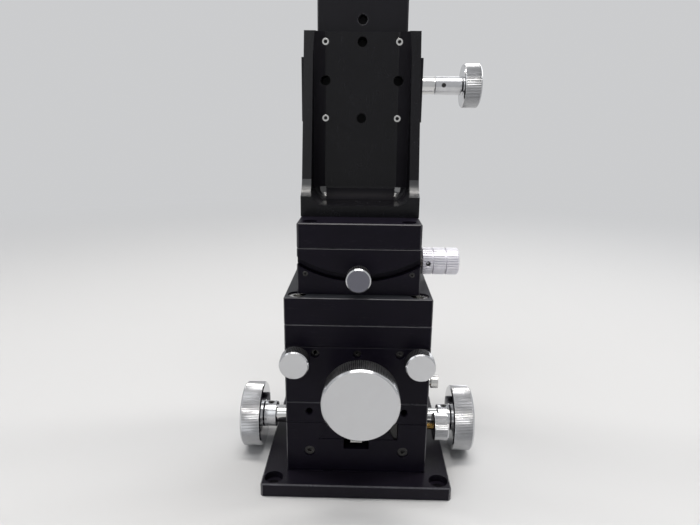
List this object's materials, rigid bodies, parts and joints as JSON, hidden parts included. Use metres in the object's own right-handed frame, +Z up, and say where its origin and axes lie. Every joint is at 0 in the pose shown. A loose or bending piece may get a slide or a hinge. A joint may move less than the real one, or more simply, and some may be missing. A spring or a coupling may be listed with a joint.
{
  "type": "goniometer stage",
  "caption": "Crossed rack-and-pinion slides under a worm-driven tilt cradle, with an upright bracket and a small vertical slide.",
  "frame": {"origin": "centre of the base plate's underside", "axes": "+Z up, +X to the instrument's right seen from the front, +Y from the front knob towards the upright rail"},
  "size_m": [0.1092, 0.0994, 0.231],
  "materials": {
    "anodised": "satin black anodised with fine bright edges",
    "bracket_black": "satin black anodised",
    "chrome": "polished nickel-chrome plate, fine straight knurl",
    "satin_alu": "clear anodised, satin, straight knurl",
    "steel": "ground",
    "screw_steel": "bright stainless",
    "black_oxide": "black oxide on steel",
    "bronze": "bearing bronze",
    "brass": "turned brass"
  },
  "bodies": {
    "base": {"base_plate": "anodised", "plate_screws": "screw_steel", "y_body": "anodised", "y_gib": "black_oxide", "y_gib_screws": "black_oxide", "y_bushes": "bronze", "y_front_screws": "black_oxide"},
    "y_pinion": {"y_pinion_shaft": "steel", "y_knob_left": "chrome", "y_knob_right": "chrome", "y_knob_set_screws": "black_oxide"},
    "y_clamp": {"y_clamp_knob": "chrome", "y_clamp_screw": "brass"},
    "y_carriage": {"y_table": "anodised", "y_rack": "steel", "y_rack_screws": "screw_steel", "x_body": "anodised", "x_body_screws": "screw_steel", "x_gib": "black_oxide", "x_gib_screws": "black_oxide", "x_bushes": "bronze", "x_side_screw": "screw_steel"},
    "x_pinion": {"x_pinion_shaft": "steel", "x_knob": "chrome", "x_knob_set_screw": "black_oxide"},
    "x_lock_left": {"x_lock_knob_left": "chrome", "x_lock_screw_left": "screw_steel"},
    "x_lock_right": {"x_lock_knob_right": "chrome", "x_lock_screw_right": "screw_steel"},
    "x_carriage": {"x_table": "anodised", "x_rack": "steel", "x_rack_screws": "screw_steel", "adapter_plate": "anodised", "adapter_screws": "screw_steel", "cradle_base": "anodised", "cradle_screws": "screw_steel", "tilt_stop_pins": "screw_steel", "worm_bush": "bronze"},
    "worm": {"worm_shaft": "steel", "drive_knob": "satin_alu", "drive_knob_set_screw": "black_oxide"},
    "tilt": {"tilt_saddle": "anodised", "tilt_segment": "bronze", "tilt_gib": "steel", "tilt_top": "anodised", "tilt_top_screws": "black_oxide", "bracket": "bracket_black", "bracket_screws": "screw_steel", "z_rail": "anodised", "z_rail_screws": "screw_steel", "z_rack": "steel"},
    "tilt_clamp": {"tilt_clamp_knob": "chrome", "tilt_clamp_screw": "screw_steel"},
    "z_slide": {"z_carriage": "anodised", "z_gib": "steel", "z_gib_screws": "black_oxide", "z_bush": "steel"},
    "z_pinion": {"z_pinion_shaft": "steel", "z_knob": "chrome", "z_knob_set_screw": "black_oxide"}
  },
  "joints": [
    {"name": "y_slide", "type": "slide", "parent": "base", "child": "y_carriage", "axis": [0, 1, 0], "range_m": [-0.012, 0.012]},
    {"name": "y_pinion_turn", "type": "hinge", "parent": "base", "child": "y_pinion", "pos_m": [0, 0, 0.016], "axis": [1, 0, 0], "range_deg": [-200, 200]},
    {"name": "y_clamp_turn", "type": "hinge", "parent": "base", "child": "y_clamp", "pos_m": [0.0353, -0.021, 0.0235], "axis": [1, 0, 0], "range_deg": [0, 180]},
    {"name": "x_slide", "type": "slide", "parent": "y_carriage", "child": "x_carriage", "axis": [1, 0, 0], "range_m": [-0.012, 0.012]},
    {"name": "x_pinion_turn", "type": "hinge", "parent": "y_carriage", "child": "x_pinion", "pos_m": [0.00157, 0, 0.0507], "axis": [0, 1, 0], "range_deg": [-200, 200]},
    {"name": "x_lock_left_turn", "type": "hinge", "parent": "y_carriage", "child": "x_lock_left", "pos_m": [-0.025, -0.0347, 0.06], "axis": [0, -1, 0], "range_deg": [0, 180]},
    {"name": "x_lock_right_turn", "type": "hinge", "parent": "y_carriage", "child": "x_lock_right", "pos_m": [0.025, -0.0347, 0.06], "axis": [0, -1, 0], "range_deg": [0, 180]},
    {"name": "tilt", "type": "hinge", "parent": "x_carriage", "child": "tilt", "pos_m": [0, 0, 0.14], "axis": [0, 1, 0], "range_deg": [-10, 10]},
    {"name": "worm_turn", "type": "hinge", "parent": "x_carriage", "child": "worm", "pos_m": [0, 0, 0.0936], "axis": [1, 0, 0], "range_deg": [-1805, 1805]},
    {"name": "tilt_clamp_turn", "type": "hinge", "parent": "tilt", "child": "tilt_clamp", "pos_m": [0, -0.03, 0.094], "axis": [0, -1, 0], "range_deg": [0, 180]},
    {"name": "z_slide", "type": "slide", "parent": "tilt", "child": "z_slide", "axis": [0, 0, 1], "range_m": [-0.02, 0.045]},
    {"name": "z_pinion_turn", "type": "hinge", "parent": "z_slide", "child": "z_pinion", "pos_m": [0.05, 0.0355, 0.1705], "axis": [1, 0, 0], "range_deg": [-460, 1035]}
  ],
  "couplings": [
    {"joint": "y_pinion_turn", "follows": "y_slide", "rad_per_m": -285.71},
    {"joint": "x_pinion_turn", "follows": "x_slide", "rad_per_m": 285.71},
    {"joint": "worm_turn", "follows": "tilt", "ratio": 180},
    {"joint": "z_pinion_turn", "follows": "z_slide", "rad_per_m": 400}
  ]
}
